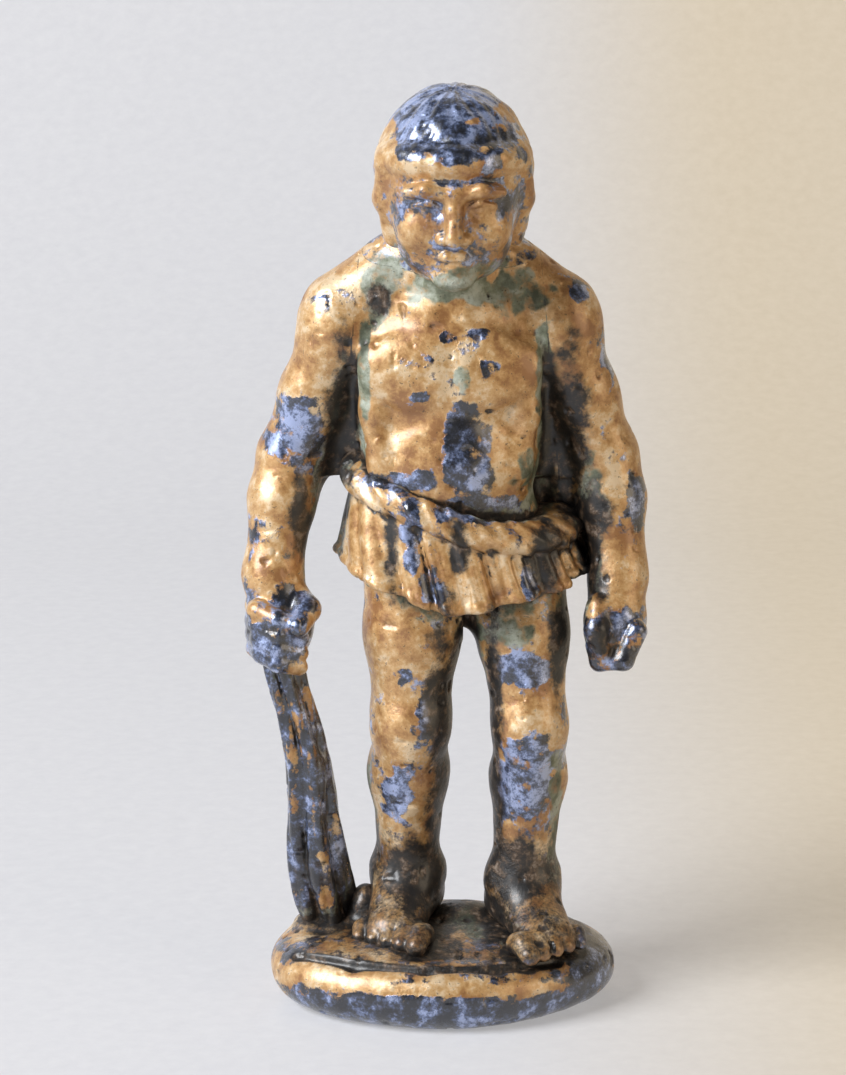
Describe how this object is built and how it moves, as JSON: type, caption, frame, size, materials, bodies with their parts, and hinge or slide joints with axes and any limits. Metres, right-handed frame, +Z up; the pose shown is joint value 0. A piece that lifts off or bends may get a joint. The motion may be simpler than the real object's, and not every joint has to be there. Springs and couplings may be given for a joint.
{
  "type": "bronze statuette",
  "caption": "Small worn bronze statuette of a standing man in a short kilt, resting a knotted club on an oval plinth; cast in pinned sections.",
  "frame": {"origin": "centre of the plinth's flat underside", "axes": "+Z up, -Y the way the figure faces, +X towards the figure's left hand"},
  "size_m": [0.0336, 0.021, 0.0762],
  "materials": {
    "worn_bronze": "worn golden-brown cast bronze with slate-dark patina patches and green verdigris in the hollows",
    "dark_bronze": "dark slate-blue patinated bronze, worn to brown on the high spots",
    "pin_bronze": "drawn bronze rod, filed flush",
    "bright_brass": "machined brass"
  },
  "bodies": {
    "root": {"base_plinth": "dark_bronze", "club": "dark_bronze", "head": "worn_bronze", "kilt": "worn_bronze", "left_arm": "worn_bronze", "left_leg": "worn_bronze", "right_arm": "worn_bronze", "right_leg": "worn_bronze", "torso": "worn_bronze", "club_pin": "pin_bronze", "kilt_pin_left": "pin_bronze", "kilt_pin_right": "pin_bronze", "left_hip_pin": "pin_bronze", "left_shoulder_pin": "pin_bronze", "neck_pin": "pin_bronze", "right_hip_pin": "pin_bronze", "right_shoulder_pin": "pin_bronze", "left_foot_nut": "bright_brass", "left_foot_stud": "bright_brass", "left_foot_washer": "bright_brass", "right_foot_nut": "bright_brass", "right_foot_stud": "bright_brass", "right_foot_washer": "bright_brass"}
  },
  "joints": []
}
